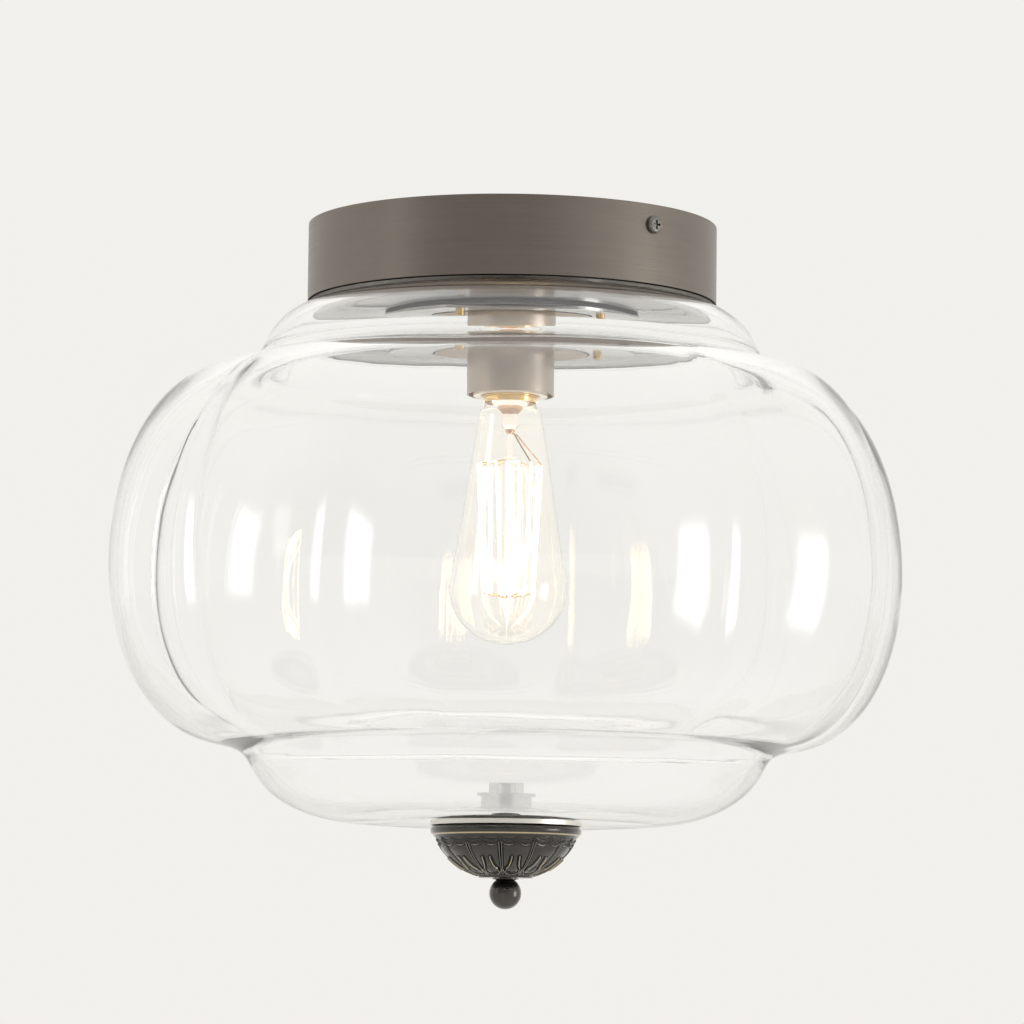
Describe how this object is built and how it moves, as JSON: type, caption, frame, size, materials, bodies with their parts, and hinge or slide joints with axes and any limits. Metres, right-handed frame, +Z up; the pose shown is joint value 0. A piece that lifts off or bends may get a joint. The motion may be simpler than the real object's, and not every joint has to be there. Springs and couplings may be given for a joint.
{
  "type": "semi flush ceiling light",
  "caption": "Semi flush ceiling light: round metal canopy, lobed clear glass shade clamped under it, screw-in bulb in a lamp holder, and a leaf-carved finial below the glass.",
  "frame": {"origin": "on the light's axis at the ceiling plane, at the middle of the bracket's top face", "axes": "+Z up into the ceiling; -Y towards the viewer of the picture; +X to the viewer's right"},
  "size_m": [0.3926, 0.3926, 0.3383],
  "materials": {
    "canopy_metal": "brushed gunmetal",
    "bracket_steel": "zinc plated",
    "black_screw": "black oxide",
    "earth_green": "green plated",
    "shade_glass": "clear",
    "seal_rubber": "matte",
    "retainer_metal": "satin",
    "brass": "bright",
    "porcelain": "glazed",
    "base_nickel": "rolled",
    "base_insulation": "dark",
    "bulb_glass": "clear, faint amber",
    "stem_glass": "clear",
    "fine_wire": "drawn",
    "hot_filament": "lit",
    "clear_plastic": "translucent",
    "trim_nickel": "polished",
    "dark_bronze": "oil rubbed",
    "block_plastic": "moulded",
    "lead_black": "extruded",
    "lead_white": "extruded"
  },
  "bodies": {
    "fixture": {"mounting_bracket": "bracket_steel", "ground_screw": "earth_green", "canopy_pan": "canopy_metal", "canopy_side_screws": "black_screw", "threaded_nipple": "bracket_steel", "nipple_washer": "bracket_steel", "nipple_locknut": "brass", "upper_gasket": "seal_rubber", "glass_shade": "shade_glass", "lower_gasket": "seal_rubber", "retainer_ring": "retainer_metal", "retainer_studs": "brass", "retainer_nuts": "brass", "socket_collar": "canopy_metal", "socket_cup": "canopy_metal", "socket_insulator": "porcelain", "socket_screw_shell": "brass", "socket_contact": "brass", "finial_inner_nut": "clear_plastic", "finial_inner_washer": "clear_plastic", "finial_bushing": "clear_plastic", "finial_gasket": "seal_rubber", "finial_trim_plate": "trim_nickel", "finial_cap": "dark_bronze", "terminal_block": "block_plastic", "terminal_screws": "brass", "lead_live": "lead_black", "lead_neutral": "lead_white"},
    "bulb": {"bulb_base_contact": "base_nickel", "bulb_base_insulator": "base_insulation", "bulb_base_shell": "base_nickel", "bulb_glass": "bulb_glass", "bulb_stem": "stem_glass", "bulb_supports": "fine_wire", "bulb_lead_wires": "fine_wire", "bulb_filament": "hot_filament"},
    "finial_knob": {"finial_knob": "dark_bronze"}
  },
  "joints": [
    {"name": "bulb_turn", "type": "hinge", "parent": "fixture", "child": "bulb", "pos_m": [0, 0, -0.08], "axis": [0, 0, 1], "continuous": true},
    {"name": "finial_knob_turn", "type": "hinge", "parent": "fixture", "child": "finial_knob", "pos_m": [0, 0, -0.33], "axis": [0, 0, 1], "continuous": true}
  ]
}
